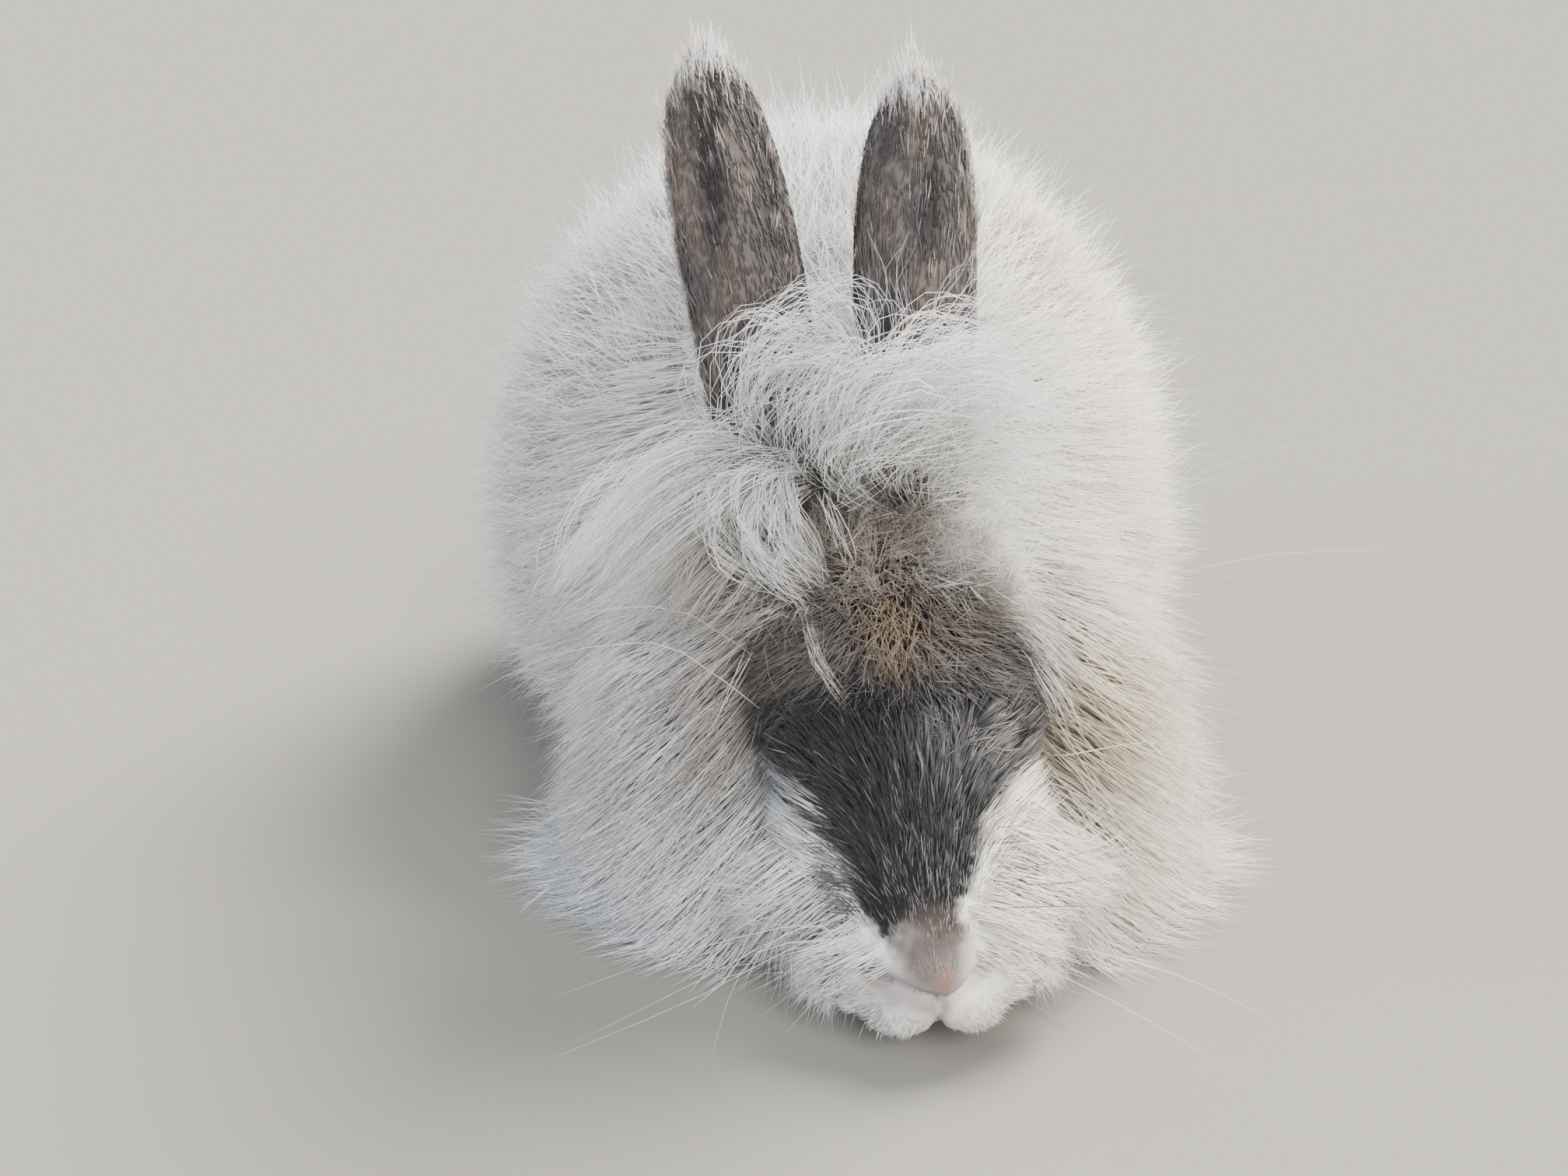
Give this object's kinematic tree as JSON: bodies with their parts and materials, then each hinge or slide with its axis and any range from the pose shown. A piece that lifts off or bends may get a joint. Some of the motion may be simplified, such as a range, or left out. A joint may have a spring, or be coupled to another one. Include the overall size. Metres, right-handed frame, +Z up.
{
  "type": "angora rabbit",
  "caption": "Life-size angora rabbit, crouched with its head down and ears up, in long white wool with a dark face and ears.",
  "frame": {"origin": "on the floor, under the middle of the whole animal", "axes": "+Z up, nose towards -Y, +X towards the animal's left side"},
  "size_m": [0.2552, 0.3732, 0.2253],
  "materials": {
    "wool": "long soft wool",
    "grey_fur": "short dense fur",
    "foot_fur": "short dense fur",
    "eye": "wet gloss"
  },
  "bodies": {
    "root": {"eye_right": "eye", "eye_left": "eye", "ear_right": "grey_fur", "ear_left": "grey_fur", "head": "grey_fur", "hindfoot_right": "foot_fur", "hindfoot_left": "foot_fur", "forefoot_right": "foot_fur", "forefoot_left": "foot_fur", "foreleg_right": "wool", "foreleg_left": "wool", "neck": "wool", "hindleg_right": "wool", "hindleg_left": "wool", "tail": "wool", "torso": "wool"}
  },
  "joints": []
}
